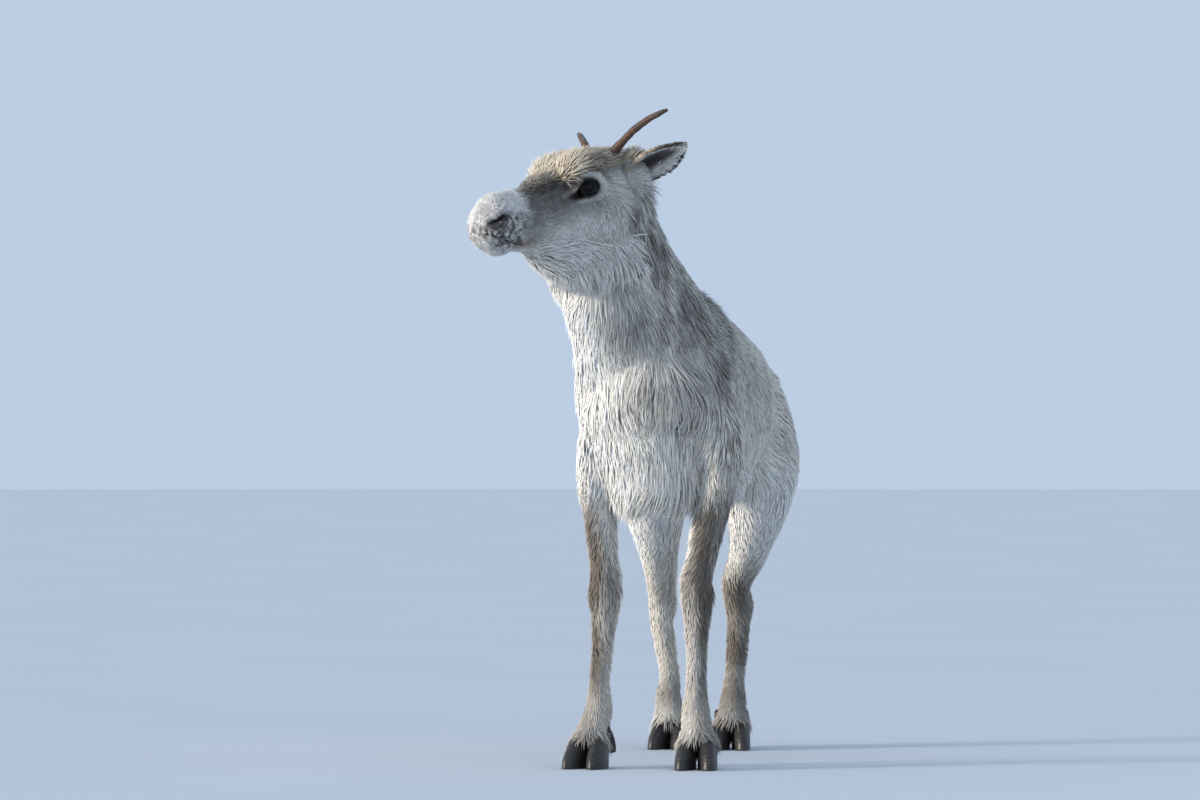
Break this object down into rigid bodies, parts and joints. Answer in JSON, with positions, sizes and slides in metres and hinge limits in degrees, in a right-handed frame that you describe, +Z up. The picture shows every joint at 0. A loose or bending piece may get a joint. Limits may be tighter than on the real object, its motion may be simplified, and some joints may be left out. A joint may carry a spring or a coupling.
{
  "type": "reindeer calf",
  "caption": "Standing young reindeer in a pale winter coat with short spike antlers, its head raised and turned to its right.",
  "frame": {"origin": "middle of the box around the whole animal, on the ground under the soles", "axes": "+Z up; the body faces -Y; its left side is +X"},
  "size_m": [0.384, 1.0834, 1.004],
  "materials": {
    "coat": "soft",
    "antler": "matt",
    "horn": "satin",
    "eye": "wet gloss"
  },
  "bodies": {
    "root": {"leg_front_left_upper": "coat", "leg_front_left_lower": "coat", "hoof_front_left_outer": "horn", "dewclaw_front_left_outer": "horn", "hoof_front_left_inner": "horn", "dewclaw_front_left_inner": "horn", "leg_front_right_upper": "coat", "leg_front_right_lower": "coat", "hoof_front_right_outer": "horn", "dewclaw_front_right_outer": "horn", "hoof_front_right_inner": "horn", "dewclaw_front_right_inner": "horn", "leg_hind_left_upper": "coat", "leg_hind_left_lower": "coat", "hoof_hind_left_outer": "horn", "dewclaw_hind_left_outer": "horn", "hoof_hind_left_inner": "horn", "dewclaw_hind_left_inner": "horn", "leg_hind_right_upper": "coat", "leg_hind_right_lower": "coat", "hoof_hind_right_outer": "horn", "dewclaw_hind_right_outer": "horn", "hoof_hind_right_inner": "horn", "dewclaw_hind_right_inner": "horn", "neck": "coat", "torso": "coat", "tail": "coat", "head": "coat", "eye_left": "eye", "antler_left": "antler", "ear_left": "coat", "eye_right": "eye", "antler_right": "antler", "ear_right": "coat"}
  },
  "joints": []
}
